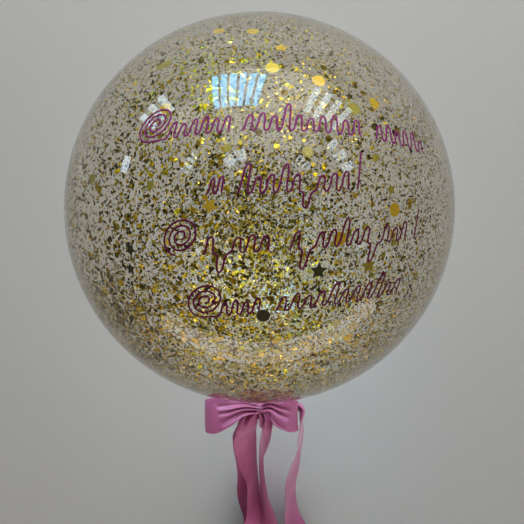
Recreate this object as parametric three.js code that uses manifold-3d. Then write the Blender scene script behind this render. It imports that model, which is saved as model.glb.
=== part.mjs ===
// Clear bubble balloon with vinyl strokes and a satin bow, lying on its back.
// Units are millimetres, +Z is up. The origin is the middle of the small flat spot that the balloon
// rests on. The vinyl faces up, and the neck and its ribbons point along -Y.

import * as THREE from 'three';
import Module from 'manifold-3d';
import { mergeVertices } from 'three/addons/utils/BufferGeometryUtils.js';

const wasm = await Module();
wasm.setup();

// Driving dimensions: the envelope
const envelopeRadius = 230;
const restSpotRadius = 28;
const neckRadius = 5;
const neckLength = 26;
const neckFlare = 2.5;
const shoulderRadius = 3;
const envelopeSides = 44;
const envelopeSteps = 20;
const shoulderSteps = 3;

// Driving dimensions: the ribbons
const ribbonWidth = 38;
const ribbonThickness = 1;
const gatherDepth = 4;
const bowTailLength = 560;
const streamerTailLength = 540;
const endSlant = 22;
const laneGap = 3;
const ribbonStripes = 2;
const loopSteps = 28;
const tailSteps = 40;
const routeSamples = 2000;
const slantPower = 8;
const bandWidth = 9;
const bandThickness = 2;
const bandSides = 24;
const tieSetback = 9;
const knotWidth = 13;
const knotDepth = 14;
const knotLength = 11;
const knotSides = 14;

// Driving dimensions: the vinyl strokes
const strokeHeight = 17;
const strokeWidth = 2;
const strokeThickness = 0.3;
const strokeSlant = 0.2;
const swellSpread = 0.8;
const barHeight = 38;
const curlRadius = 19;
const curlCore = 2.5;
const curlTurns = 3;
const curlSteps = 32;
const waveSteps = 6;

// Fits
const clearance = 0.3;

// Places that follow from the sizes
const degree = Math.PI / 180;
const centreHeight = Math.sqrt(envelopeRadius ** 2 - restSpotRadius ** 2);
const tieOut = envelopeRadius + tieSetback;
const bandRadius = neckRadius + clearance;
const bandOuterRadius = bandRadius + bandThickness;
const streamerStep = bandWidth + clearance;
const knotHeight = centreHeight + bandRadius + knotDepth / 2;
const lane = ribbonWidth + laneGap;
const neckSide = bandRadius / ribbonWidth;
const streamerBack = streamerStep / ribbonWidth;

const film = new THREE.MeshStandardMaterial({
  color: 0xe8ebe6,
  roughness: 0.05,
  metalness: 0,
  transparent: true,
  opacity: 0.35,
});
const satin = new THREE.MeshStandardMaterial({ color: 0xc9709f, roughness: 0.38, metalness: 0 });
const vinyl = new THREE.MeshStandardMaterial({ color: 0x8c1a63, roughness: 0.45, metalness: 0 });

// A closed geometry as a manifold solid
function solid(geometry) {
  const bare = geometry.clone();
  bare.deleteAttribute('normal');
  bare.deleteAttribute('uv');
  const merged = mergeVertices(bare);
  const vertProperties = new Float32Array(merged.attributes.position.array);
  const triVerts = new Uint32Array(merged.index.array);
  return new wasm.Manifold(new wasm.Mesh({ numProp: 3, vertProperties, triVerts }));
}

// A manifold solid as a geometry
function geometryOf(body) {
  const mesh = body.getMesh();
  const geometry = new THREE.BufferGeometry();
  geometry.setAttribute('position', new THREE.BufferAttribute(mesh.vertProperties, 3));
  geometry.setIndex(new THREE.BufferAttribute(mesh.triVerts, 1));
  geometry.computeVertexNormals();
  return geometry;
}

// A long box whose points go where place(along, across, through) puts them.
// along runs from 0 to 1, across and through run from -0.5 to 0.5.
function bentBox(steps, stripes, place) {
  const geometry = new THREE.BoxGeometry(1, 1, 1, steps, stripes, 1);
  const positions = geometry.attributes.position;
  for (let i = 0; i < positions.count; i += 1) {
    const along = positions.getX(i) + 0.5;
    const at = place(along, positions.getY(i), positions.getZ(i));
    positions.setXYZ(i, at.x, at.y, at.z);
  }
  geometry.computeVertexNormals();
  return geometry;
}

// Half outline of the envelope from the neck's mouth to the far pole, grown by a margin.
// A hollow shoulder arc joins the ball to the neck.
function envelopeOutline(margin) {
  const ball = envelopeRadius + margin;
  const neck = neckRadius + margin;
  const mouth = -(envelopeRadius + neckLength + margin);
  const reach = ball + shoulderRadius;
  const joinAngle = Math.asin((neck + shoulderRadius) / reach);
  const arcY = -reach * Math.cos(joinAngle);
  const points = [new THREE.Vector2(0, mouth), new THREE.Vector2(neck + neckFlare, mouth)];
  for (let i = 0; i <= shoulderSteps; i += 1) {
    const turn = Math.PI / 2 - (Math.PI / 2 - joinAngle) * (i / shoulderSteps);
    const x = neck + shoulderRadius * (1 - Math.sin(turn));
    points.push(new THREE.Vector2(x, arcY + shoulderRadius * Math.cos(turn)));
  }
  for (let i = 1; i <= envelopeSteps; i += 1) {
    const turn = joinAngle + (Math.PI - joinAngle) * (i / envelopeSteps);
    points.push(new THREE.Vector2(ball * Math.sin(turn), -ball * Math.cos(turn)));
  }
  points[points.length - 1].x = 0;
  return points;
}

// The ball and neck turned about the neck's axis, centred over the origin
function envelopeSolid(margin) {
  const turned = new THREE.LatheGeometry(envelopeOutline(margin), envelopeSides);
  turned.translate(0, 0, centreHeight);
  return solid(turned);
}

// A ring round the neck, out being the distance of its middle past the tie
function neckBand(out) {
  const half = bandWidth / 2;
  const middle = -(tieOut + out);
  const outline = [
    new THREE.Vector2(bandRadius, middle + half),
    new THREE.Vector2(bandRadius, middle - half),
    new THREE.Vector2(bandOuterRadius, middle - half),
    new THREE.Vector2(bandOuterRadius, middle + half),
    new THREE.Vector2(bandRadius, middle + half),
  ];
  const ring = new THREE.LatheGeometry(outline, bandSides);
  ring.translate(0, 0, centreHeight);
  return solid(ring);
}

// The knot: a rounded lump in front of the neck
function knotSolid() {
  const lump = new THREE.SphereGeometry(0.5, knotSides, knotSides / 2);
  lump.scale(knotWidth, knotLength, knotDepth);
  lump.translate(0, -tieOut, knotHeight);
  return solid(lump);
}

// One station on a ribbon: x and the distance out past the tie in ribbon widths, then the height
// in millimetres, the roll in degrees and the share of the full width that the ribbon has there
function station(x, out, height, roll, share) {
  const place = new THREE.Vector3(x * ribbonWidth, -(tieOut + out * ribbonWidth), height);
  return { place, roll: roll * degree, share };
}

// Heights for stations: up from the knot or from the neck in ribbon widths, as a share of the
// knot's height, and for a ribbon near the floor that leans by some degrees with its edge lifted
function nearKnot(up) {
  return knotHeight + up * ribbonWidth;
}

function nearNeck(up) {
  return centreHeight + up * ribbonWidth;
}

function aloft(share) {
  return knotHeight * share;
}

function resting(lean, lift) {
  return ribbonWidth * (Math.sin(lean * degree) / 2 + lift) + ribbonThickness / 2;
}

// A strip of ribbon through its stations. side is the direction across it before it rolls.
// With a length it ends there, in a slanted cut; without one it runs through every station.
// The floor at height 0 holds up whatever would dip under it.
function ribbonStrip(side, stations, steps, length) {
  const route = new THREE.CatmullRomCurve3(stations.map((s) => s.place), false, 'centripetal');
  route.arcLengthDivisions = routeSamples;
  const forms = stations.map((s) => new THREE.Vector3(s.roll, s.share, 0));
  const form = new THREE.CatmullRomCurve3(forms, false, 'centripetal');
  const whole = route.getLength();
  const place = (along, across, through) => {
    const slant = length === undefined ? 0 : endSlant * across * along ** slantPower;
    const distance = length === undefined ? along * whole : along * length + slant;
    const t = route.getUtoTmapping(0, distance);
    const { x: roll, y: share } = form.getPoint(t);
    const ahead = route.getTangent(t);
    const level = side.clone().addScaledVector(ahead, -side.dot(ahead)).normalize();
    const lifted = new THREE.Vector3().crossVectors(ahead, level);
    const wide = level.multiplyScalar(Math.cos(roll)).addScaledVector(lifted, Math.sin(roll));
    const up = new THREE.Vector3().crossVectors(ahead, wide);
    const thick = ribbonThickness + gatherDepth * Math.max(0, 1 - share);
    const at = route.getPoint(t);
    at.addScaledVector(wide, across * ribbonWidth * share);
    at.addScaledVector(up, through * thick);
    at.z = Math.max(at.z, (through + 0.5) * thick);
    return at;
  };
  return solid(bentBox(steps, ribbonStripes, place));
}

const acrossX = new THREE.Vector3(1, 0, 0);
const alongNeck = new THREE.Vector3(0, -1, 0);
const upright = new THREE.Vector3(0, 0, 1);

// The floor run of a tail: it sways a little in its own lane, and goes straight past its last sway
function floorRun(laneNumber, length) {
  const start = 7.5;
  const pace = 1.25;
  const sways = [0, -0.08, -0.03, 0.1, 0.03];
  const humps = [0, 0.08, 0, 0.1, 0];
  const middle = (laneNumber * lane) / ribbonWidth;
  const stations = sways.map((sway, i) =>
    station(middle + sway, start + i * pace, resting(0, humps[i]), 0, 1),
  );
  const end = start + sways.length * pace + length / ribbonWidth;
  return [...stations, station(middle, end, resting(0, 0), 0, 1)];
}

function leftLoop() {
  return ribbonStrip(alongNeck, [
    station(-0.053, 0, nearKnot(0.053), 0, 0.25),
    station(-0.526, -0.035, nearKnot(0.289), 0, 0.42),
    station(-1.053, 0.12, nearKnot(0.395), 4, 0.75),
    station(-1.474, 0.211, nearKnot(0.342), 2, 1),
    station(-1.711, 0.211, nearKnot(0.079), 0, 1),
    station(-1.579, 0.211, nearKnot(-0.211), 0, 1),
    station(-1.158, 0.184, nearKnot(-0.316), 0, 0.9),
    station(-0.579, 0.079, nearKnot(-0.211), 0, 0.5),
    station(-0.079, 0, nearKnot(-0.053), 0, 0.25),
  ], loopSteps);
}

function rightLoop() {
  return ribbonStrip(alongNeck, [
    station(0.053, 0, nearKnot(0.053), 0, 0.25),
    station(0.342, -0.08, nearKnot(0.263), 0, 0.45),
    station(0.684, 0.105, nearKnot(0.368), -4, 0.8),
    station(1, 0.211, nearKnot(0.316), -2, 0.92),
    station(1.211, 0.211, nearKnot(0.079), 0, 0.92),
    station(1.132, 0.263, nearKnot(-0.211), 0, 0.95),
    station(0.816, 0.289, nearKnot(-0.316), 0, 0.95),
    station(0.421, 0.158, nearKnot(-0.211), 0, 0.55),
    station(0.079, 0, nearKnot(-0.053), 0, 0.25),
  ], loopSteps);
}

function leftTail() {
  return ribbonStrip(acrossX, [
    station(-0.053, 0, nearKnot(-0.026), 0, 0.25),
    station(-0.342, 0.342, nearKnot(0), -12, 0.6),
    station(-0.408, 0.632, aloft(0.975), -36, 0.85),
    station(-0.447, 0.895, aloft(0.906), -38, 0.95),
    station(-0.487, 1.211, aloft(0.765), -40, 1),
    station(-0.5, 1.605, aloft(0.615), -42, 1),
    station(-0.474, 2.132, aloft(0.47), -45, 1),
    station(-0.408, 2.789, aloft(0.33), -54, 1),
    station(-0.276, 3.579, aloft(0.205), -68, 1),
    station(-0.25, 4.5, resting(64, 0.211), -64, 1),
    station(-0.237, 5.553, resting(50, 0.066), -50, 1),
    station(-0.632, 6.395, resting(25, 0.105), -25, 1),
    station(-1, 6.921, resting(10, 0.079), -10, 1),
    ...floorRun(-1, bowTailLength),
  ], tailSteps, bowTailLength);
}

function middleTail() {
  return ribbonStrip(acrossX, [
    station(0.053, 0, nearKnot(-0.026), 0, 0.25),
    station(0.184, 0.316, nearKnot(0), 10, 0.42),
    station(0.184, 0.632, aloft(0.98), 54, 0.5),
    station(0.163, 0.895, aloft(0.915), 68, 0.7),
    station(0.153, 1.211, aloft(0.775), 78, 0.9),
    station(0.132, 1.605, aloft(0.62), 84, 1),
    station(0.095, 2.132, aloft(0.475), 84, 1),
    station(0.074, 2.789, aloft(0.335), 80, 1),
    station(0.105, 3.579, aloft(0.21), 75, 1),
    station(0.197, 4.5, resting(70, 0.211), 70, 1),
    station(0.421, 5.553, resting(60, 0.047), 60, 1),
    station(0.632, 6.395, resting(45, 0.092), 45, 1),
    station(0.908, 6.921, resting(20, 0.105), 20, 1),
    ...floorRun(1, bowTailLength),
  ], tailSteps, bowTailLength);
}

function rightTail() {
  const floor = floorRun(2, streamerTailLength).map((s) => ({ ...s, roll: 90 * degree }));
  return ribbonStrip(upright, [
    station(neckSide, streamerBack, nearNeck(-0.053), 0, 0.25),
    station(0.474, streamerBack, nearNeck(-0.316), 0, 0.35),
    station(0.895, 0.105, nearNeck(-0.395), 0, 0.4),
    station(1.211, 0, nearNeck(-0.263), 0, 0.45),
    station(1.368, 0.158, nearNeck(-0.079), 2, 0.6),
    station(1.329, 0.474, nearNeck(0.053), 6, 0.9),
    station(1.316, 0.763, nearNeck(-0.079), 13, 1),
    station(1.355, 1.211, aloft(0.77), 15, 1),
    station(1.395, 1.605, aloft(0.625), 15, 1),
    station(1.382, 2.132, aloft(0.475), 16, 1),
    station(1.303, 2.789, aloft(0.34), 22, 1),
    station(1.226, 3.579, aloft(0.215), 29, 1),
    station(1.171, 4.5, resting(66, 0.368), 24, 1),
    station(1.25, 5.553, resting(53, 0.079), 37, 1),
    station(1.605, 6.395, resting(30, 0.039), 60, 1),
    station(1.974, 6.921, resting(12, 0.026), 78, 1),
    ...floor,
  ], tailSteps, streamerTailLength);
}

function backTail() {
  return ribbonStrip(acrossX, [
    station(-neckSide, streamerBack, nearNeck(-0.079), 0, 0.25),
    station(-0.368, streamerBack + 0.211, nearNeck(-0.368), -20, 0.5),
    station(-0.526, 0.789, aloft(0.77), -38, 0.8),
    station(-0.579, 1.158, aloft(0.63), -46, 1),
    station(-0.579, 1.605, aloft(0.51), -46, 1),
    station(-0.566, 2.132, aloft(0.365), -46, 1),
    station(-0.526, 2.789, aloft(0.225), -48, 1),
    station(-0.474, 3.579, aloft(0.11), -44, 1),
    station(-0.421, 4.5, resting(30, 0.011), -30, 1),
    station(-0.132, 5.605, resting(0, 0), 0, 1),
    station(-0.053, 6.579, resting(0, 0), 0, 1),
    ...floorRun(0, streamerTailLength),
  ], tailSteps, streamerTailLength);
}

// A point on the film at a longitude and latitude in degrees, raised by some height
function filmPoint(longitude, latitude, raised) {
  const radius = envelopeRadius + clearance + raised;
  const lon = longitude * degree;
  const lat = latitude * degree;
  return new THREE.Vector3(
    radius * Math.cos(lat) * Math.sin(lon),
    radius * Math.sin(lat),
    centreHeight + radius * Math.cos(lat) * Math.cos(lon),
  );
}

// Rows that the strokes stand on: latitude = base + tilt * longitude + bend * longitude squared
const rows = [
  { base: 19.3, tilt: 0.02, bend: -0.0022 },
  { base: 4, tilt: 0.03, bend: 0 },
  { base: -10, tilt: 0.06, bend: 0 },
  { base: -26, tilt: 0.1, bend: 0 },
];

// A place on a row: degrees along it, and millimetres above it, leaning with the height
function rowPoint(row, longitude, up) {
  const latitude = row.base + row.tilt * longitude + row.bend * longitude ** 2;
  const arc = envelopeRadius * degree;
  const lean = (strokeSlant * up) / (arc * Math.cos(latitude * degree));
  return new THREE.Vector2(longitude + lean, latitude + up / arc);
}

// A wave from one longitude to another, one swell for each height in the list.
// A height is a share of the stroke height, and one below zero dips under the row.
// Each swell spreads at its crest and foot, so that both are round.
function wave(row, from, to, heights) {
  const points = [];
  const count = heights.length * waveSteps;
  for (let i = 0; i <= count; i += 1) {
    const swell = Math.min(heights.length - 1, Math.floor(i / waveSteps));
    const phase = (i / waveSteps - swell) * 2 * Math.PI;
    const up = heights[swell] * strokeHeight * 0.5 * (1 - Math.cos(phase));
    const spread = (swellSpread * Math.sin(2 * phase)) / (4 * Math.PI);
    const share = (i / waveSteps + spread) / heights.length;
    points.push(rowPoint(row, from + (to - from) * share, up));
  }
  return points;
}

// A curl that opens from its core and ends on the row at a longitude
function curl(row, end) {
  const arc = envelopeRadius * degree * Math.cos(row.base * degree);
  const points = [];
  for (let i = 0; i < curlSteps; i += 1) {
    const share = i / curlSteps;
    const turn = (-0.25 - curlTurns * (1 - share)) * 2 * Math.PI;
    const radius = curlCore + (curlRadius - curlCore) * share;
    const along = (radius * Math.cos(turn) - curlRadius * 0.5) / arc;
    const up = curlRadius + radius * Math.sin(turn);
    points.push(rowPoint(row, end + along, up));
  }
  return points;
}

// A leaning bar that stands on the row
function bar(row, longitude, height) {
  return [0, height / 2, height].map((up) => rowPoint(row, longitude, up));
}

// A flat strip of vinyl along points given as longitude and latitude
function strokeGeometry(points) {
  const middles = points.map((p) => filmPoint(p.x, p.y, 0));
  const route = new THREE.CatmullRomCurve3(middles, false, 'centripetal');
  const steps = points.length - 1;
  const centre = new THREE.Vector3(0, 0, centreHeight);
  return bentBox(steps, 1, (along, across, through) => {
    const at = route.getPoint(along);
    const outward = at.clone().sub(centre).normalize();
    const ahead = route.getTangent(along);
    const wide = new THREE.Vector3().crossVectors(outward, ahead).normalize();
    const raised = envelopeRadius + clearance + (through + 0.5) * strokeThickness;
    const edge = centre.clone().addScaledVector(outward, raised);
    return edge.addScaledVector(wide, across * strokeWidth);
  });
}

const [row1, row2, row3, row4] = rows;
const strokes = {
  vinyl_row1_flourish_run: [
    ...curl(row1, -27),
    ...wave(row1, -25, -7.5, [1, 0.8, 1, 1.1, 0.9, 1]),
  ],
  vinyl_row1_long_run: wave(row1, -4.8, 27.5, [1, 1.1, 0.9, 1.7, 1, 0.8, 1, 1.1, 0.9, 1]),
  vinyl_row1_end_run: wave(row1, 31.5, 50.5, [0.9, 1, 0.8, 1, 1.1, 0.7]),
  vinyl_row2_short_run: wave(row2, -12.9, -8.8, [0.9, 1]),
  vinyl_row2_long_run: wave(row2, -5.6, 22.5, [1.7, 0.9, 1, 1.6, 1, -0.9, 0.9, 1, 1.1]),
  vinyl_row2_bar: bar(row2, 24.5, barHeight),
  vinyl_row3_curl: curl(row3, -18),
  vinyl_row3_run: wave(row3, -14.3, 2.6, [1, -1.1, 0.9, 1, 0.9]),
  vinyl_row3_long_run: wave(row3, 6.9, 40.5, [1, -1.2, 0.9, 1, 1.6, 0.9, 1, -1.1, 1, 0.8, 1.1]),
  vinyl_row3_bar: bar(row3, 43.5, barHeight * 0.8),
  vinyl_row4_flourish_run: [
    ...curl(row4, -13),
    ...wave(row4, -11.5, 0.2, [0.9, 1, 0.8, 1]),
  ],
  vinyl_row4_long_run: wave(row4, 4, 41.5, [0.9, 1, 0.8, 1, 1.4, 0.9, 1, 1.1, 1.6, 0.9, 1]),
};

const group = new THREE.Group();

function add(name, geometry, material) {
  const mesh = new THREE.Mesh(geometry, material);
  mesh.name = name;
  group.add(mesh);
}

const roomSize = 4 * envelopeRadius;
const underFloor = new THREE.BoxGeometry(roomSize, roomSize, roomSize);
underFloor.translate(0, 0, -roomSize / 2);
add('balloon_envelope', geometryOf(envelopeSolid(0).subtract(solid(underFloor))), film);

const keepOut = envelopeSolid(clearance);
const bow = neckBand(0).add(knotSolid()).add(leftLoop()).add(rightLoop()).add(leftTail()).add(middleTail());
add('bow_ribbon', geometryOf(bow.subtract(keepOut)), satin);

const streamer = neckBand(streamerStep).add(rightTail()).add(backTail());
add('streamer_ribbon', geometryOf(streamer.subtract(keepOut)), satin);

for (const [name, points] of Object.entries(strokes)) {
  add(name, strokeGeometry(points), vinyl);
}

export default group;
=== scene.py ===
"""A clear bubble balloon with gold confetti sealed in it, vinyl strokes on its front, and a
satin bow and streamer on its neck. It lies on its back: the vinyl faces up and the neck
points along -Y. All sizes are in metres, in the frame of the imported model."""

import math

import bpy
import numpy as np
from bpy.props import FloatProperty, FloatVectorProperty, IntProperty, PointerProperty
from bpy.types import Operator, Panel, PropertyGroup
from mathutils import Matrix, Vector


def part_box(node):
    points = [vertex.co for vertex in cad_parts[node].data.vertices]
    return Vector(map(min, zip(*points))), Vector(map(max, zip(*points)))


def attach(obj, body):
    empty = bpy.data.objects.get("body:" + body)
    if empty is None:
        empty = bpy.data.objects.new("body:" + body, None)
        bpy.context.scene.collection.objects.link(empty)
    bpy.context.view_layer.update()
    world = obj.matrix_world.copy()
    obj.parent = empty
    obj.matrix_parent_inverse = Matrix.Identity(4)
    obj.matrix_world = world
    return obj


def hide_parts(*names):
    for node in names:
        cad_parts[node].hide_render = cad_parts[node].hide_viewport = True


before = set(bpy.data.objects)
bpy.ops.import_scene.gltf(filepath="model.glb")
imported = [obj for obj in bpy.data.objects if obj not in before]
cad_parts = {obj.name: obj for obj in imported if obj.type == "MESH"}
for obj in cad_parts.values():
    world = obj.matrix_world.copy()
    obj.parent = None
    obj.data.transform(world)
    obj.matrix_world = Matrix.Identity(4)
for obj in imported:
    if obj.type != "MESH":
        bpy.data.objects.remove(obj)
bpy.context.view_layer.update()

bl_info = {
    "name": "Bubble balloon with confetti and a satin bow",
    "version": (1, 0, 0),
    "blender": (4, 5, 0),
    "location": "3D View > Sidebar > Balloon",
    "description": "Makes a clear bubble balloon, its confetti, vinyl strokes, bow and streamer",
    "category": "Object",
}

MM = 0.001
BODY = "root"

# What the frame says of the ball: its radius and the height of its centre
lowest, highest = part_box("balloon_envelope")
BALL_RADIUS = (highest.x - lowest.x) / 2
CENTRE_HEIGHT = highest.z - BALL_RADIUS
CENTRE = np.array([0.0, 0.0, CENTRE_HEIGHT])

# The ribbons' route, repeated from the model's source
RIBBON_WIDTH = 38 * MM
TIE_OUT = BALL_RADIUS + 9 * MM
NECK_RADIUS = 5 * MM
BAND_RADIUS = NECK_RADIUS + 0.3 * MM
BAND_WIDTH = 9 * MM
STREAMER_STEP = BAND_WIDTH + 0.3 * MM
KNOT_HEIGHT = CENTRE_HEIGHT + BAND_RADIUS + 7 * MM
LANE = RIBBON_WIDTH + 3 * MM
BOW_TAIL_LENGTH = 560 * MM
STREAMER_TAIL_LENGTH = 540 * MM
END_SLANT = 22 * MM
SLANT_POWER = 8
NECK_SIDE = BAND_RADIUS / RIBBON_WIDTH
STREAMER_BACK = STREAMER_STEP / RIBBON_WIDTH


def colour(name, description, value):
    """A colour property with its default."""
    return FloatVectorProperty(
        name=name, description=description, default=value, size=3, min=0, max=1, subtype="COLOR"
    )


def length(name, description, value):
    """A length property with its default, in metres."""
    return FloatProperty(
        name=name, description=description, default=value, min=0, precision=5, unit="LENGTH"
    )


def number(name, description, value, least=0):
    """A number property with its default and its least value."""
    return FloatProperty(name=name, description=description, default=value, min=least)


class FilmSettings(PropertyGroup):
    """Sizes and finish of the clear film."""

    wall: length("Wall", "Thickness of the film", 0.4 * MM)
    neck_length: length("Neck", "Length of the neck past the ball", 26 * MM)
    neck_flare: length("Flare", "How far the neck's mouth opens out", 2.5 * MM)
    crease_depth: length("Creases", "Depth of the creases round the neck", 0.7 * MM)
    tint: colour("Tint", "Colour of light that passes the film", (0.895, 0.862, 0.8))
    roughness: number("Haze", "Roughness of the film", 0.005)


class ConfettiSettings(PropertyGroup):
    """Counts, sizes and tones of the confetti. Its tones paint light and shade on one gold foil.
    """

    flakes: IntProperty(name="Flakes", description="Number of foil flakes", default=95000, min=100)
    flake_size: length("Flake", "Middle length of a flake", 1.3 * MM)
    star_size: length("Star", "Width of a foil star", 18.5 * MM)
    disc_size: length("Disc", "Width of a foil disc", 14 * MM)
    seed: IntProperty(name="Seed", description="Start of the random draws", default=7)
    # Painted highlight: the gold foil where it catches the light
    bright: colour("Bright gold", "Foil that catches the light", (0.9, 0.62, 0.06))
    gold: colour("Gold", "Foil in plain light", (0.55, 0.36, 0.01))
    # Painted half shade on the gold foil
    olive: colour("Olive", "Foil in half shade", (0.26, 0.18, 0.008))
    light_shape: colour("Light shapes", "Stars and discs of light gold", (0.38, 0.235, 0.004))
    # Painted half shade on the gold foil of the stars and discs
    olive_shape: colour("Olive shapes", "Stars and discs of olive gold", (0.2, 0.155, 0.01))
    # Painted shade on the gold foil of the stars and discs
    dark_shape: colour("Dark shapes", "Stars and discs in shade", (0.026, 0.022, 0.004))
    # Painted shade on the gold foil
    bronze: colour("Bronze", "Foil in shade", (0.07, 0.047, 0.009))


class VinylSettings(PropertyGroup):
    """Size and colour of the vinyl strokes."""

    width: length("Width", "Width of a stroke", 2 * MM)
    thickness: length("Thickness", "Thickness of the vinyl", 0.3 * MM)
    upper: colour("Upper rows", "Colour of the upper rows", (0.21, 0.008, 0.125))
    lower: colour("Lower rows", "Colour of the lower rows", (0.11, 0.003, 0.035))


class RibbonSettings(PropertyGroup):
    """Thickness and colours of the satin ribbon."""

    thickness: length("Thickness", "Thickness of the ribbon", 0.4 * MM)
    light: colour("Light threads", "Colour where the satin is light", (0.5, 0.165, 0.315))
    deep: colour("Deep threads", "Colour where the satin is deep", (0.42, 0.088, 0.215))


class StageSettings(PropertyGroup):
    """Floor, light and camera."""

    floor: colour("Floor", "Colour of the floor", (0.47, 0.462, 0.448))
    fill: number("Fill", "Strength of the even fill light", 0.14)
    top: number("Top light", "Power of the soft light above", 46)
    low: number("Low light", "Power of the soft light before the ribbons", 62)
    glow: number("Panels", "Brightness of the light panels", 11)
    camera_rise: length("Camera rise", "Camera's height over the ball's centre", 1.1)
    focal: number("Focal length", "In millimetres", 62.817, 1)


class Signal:
    """A socket's value that varies over a surface; sums and products of it add Math nodes."""

    def __init__(self, finish, socket):
        self.finish = finish
        self.socket = socket

    def math(self, operation, *others):
        """One Math node on this value and others."""
        settings = {"operation": operation}
        return self.finish.node("ShaderNodeMath", settings, [self, *others])[0]

    def __add__(self, other):
        return self.math("ADD", other)

    __radd__ = __add__

    def __mul__(self, other):
        return self.math("MULTIPLY", other)

    __rmul__ = __mul__

    def __sub__(self, other):
        return self.math("SUBTRACT", other)

    def __rsub__(self, other):
        return (self * -1.0).math("ADD", other)

    def sine(self):
        """The sine of this value."""
        return self.math("SINE")

    def part(self, low, high):
        """This value's place between low and high, kept from 0 to 1, with soft ends."""
        settings = {"interpolation_type": "SMOOTHSTEP"}
        values = {"Value": self, "From Min": low, "From Max": high}
        return self.finish.node("ShaderNodeMapRange", settings, values)[0]


class Finish:
    """A material with one shader, and the means to add nodes that feed it."""

    def __init__(self, name):
        self.material = bpy.data.materials.new(name)
        self.material.use_nodes = True
        self.tree = self.material.node_tree
        self.tree.nodes.clear()
        self.output = self.tree.nodes.new("ShaderNodeOutputMaterial")
        self.shader = self.tree.nodes.new("ShaderNodeBsdfPrincipled")
        self.tree.links.new(self.shader.outputs[0], self.output.inputs[0])

    def feed(self, socket, value):
        """Sets a socket to a plain value, or links a signal or node output to it."""
        if isinstance(value, Signal):
            self.tree.links.new(value.socket, socket)
        elif hasattr(value, "__len__") and len(value) == 3 and len(socket.default_value) == 4:
            socket.default_value = (*value, 1.0)
        else:
            socket.default_value = value

    def node(self, kind, settings=None, values=None):
        """Adds a node: its type, its settings, its sockets' values or links. Gives its outputs."""
        node = self.tree.nodes.new(kind)
        for key, value in (settings or {}).items():
            setattr(node, key, value)
        pairs = enumerate(values) if isinstance(values, list) else (values or {}).items()
        for key, value in pairs:
            self.feed(node.inputs[key], value)
        return [Signal(self, s) for s in node.outputs if s.enabled]

    def give(self, **values):
        """Feeds the shader's own sockets by their names, with _ for a space."""
        for key, value in values.items():
            self.feed(self.shader.inputs[key.replace("_", " ")], value)

    def place(self):
        """Object coordinates."""
        return self.node("ShaderNodeTexCoord")[3]

    def uv(self):
        """The piece's own map, split in across and along, in metres."""
        coordinates = self.node("ShaderNodeTexCoord")[2]
        across, along, _ = self.node("ShaderNodeSeparateXYZ", None, [coordinates])
        return across, along

    def noise(self, vector, scale, detail=2.0):
        """Soft random value from 0 to 1."""
        values = {"Vector": vector, "Scale": scale, "Detail": detail}
        return self.node("ShaderNodeTexNoise", None, values)[0]

    def mix(self, share, first, second):
        """A colour between two: the Mix node's inputs 6 and 7, and its output 2, are colours."""
        node = self.tree.nodes.new("ShaderNodeMix")
        node.data_type = "RGBA"
        for number, value in ((0, share), (6, first), (7, second)):
            self.feed(node.inputs[number], value)
        return Signal(self, node.outputs[2])

    def bump(self, height, strength, distance):
        """Feeds a height to the shader's normal."""
        values = {"Height": height, "Strength": strength, "Distance": distance}
        self.feed(self.shader.inputs["Normal"], self.node("ShaderNodeBump", None, values)[0])


# Faces that meet at more than this angle show a hard edge
SHARP_ANGLE = math.radians(50)
# Places on a curve whose distance has a smaller square root than this count as one
SAME_PLACE = 1e-4


def stand(name, data):
    """A new object in the scene for a mesh, a light or a camera."""
    made = bpy.data.objects.new(name, data)
    bpy.context.scene.collection.objects.link(made)
    return made


def piece(name, points, faces, material, uv=None, smooth=True):
    """An object from arrays of points and faces, with its finish, riding on the body."""
    mesh = bpy.data.meshes.new(name)
    mesh.from_pydata(points, [], faces)
    if uv is not None:
        layer = mesh.uv_layers.new(name="cloth")
        corners = np.zeros(len(mesh.loops), np.int32)
        mesh.loops.foreach_get("vertex_index", corners)
        layer.data.foreach_set("uv", np.asarray(uv, np.float32)[corners].ravel())
    mesh.polygons.foreach_set("use_smooth", np.full(len(mesh.polygons), smooth))
    if smooth:
        mesh.set_sharp_from_angle(angle=SHARP_ANGLE)
    mesh.materials.append(material)
    made = stand(name, mesh)
    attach(made, BODY)
    return made


def slab_faces(rows, columns, around):
    """Faces of a closed slab: a top grid, a bottom grid turned over, and a rim that joins them.
    around joins the last row to the first."""
    index = np.arange(rows * columns).reshape(rows, columns)
    if around:
        index = np.vstack([index, index[:1]])
    under = index + rows * columns
    first, after, beside, across = index[:-1, :-1], index[1:, :-1], index[1:, 1:], index[:-1, 1:]
    top = np.stack([first, after, beside, across], -1).reshape(-1, 4)
    bottom = top[:, ::-1] + rows * columns
    rims = [(index[:, 0], under[:, 0]), (under[:, -1], index[:, -1])]
    if not around:
        rims += [(under[0], index[0]), (index[-1], under[-1])]
    faces = [top, bottom, *(np.stack([a[:-1], b[:-1], b[1:], a[1:]], -1) for a, b in rims)]
    return np.vstack(faces)


def unit(vectors):
    """Vectors of length one."""
    return vectors / np.maximum(np.linalg.norm(vectors, axis=-1, keepdims=True), 1e-12)


def grid_normals(grid, around=False):
    """Unit normals of a grid of points: the cross product of its two gradients."""
    if around:
        wrapped = np.concatenate([grid[-1:], grid, grid[:1]])
        along = np.gradient(wrapped, axis=0)[1:-1]
    else:
        along = np.gradient(grid, axis=0)
    return unit(np.cross(along, np.gradient(grid, axis=1)))


def way_along(points):
    """The way along a line of points, up to each of them."""
    pieces = np.linalg.norm(np.diff(points, axis=0), axis=1)
    return np.concatenate([[0], np.cumsum(pieces)])


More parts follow.
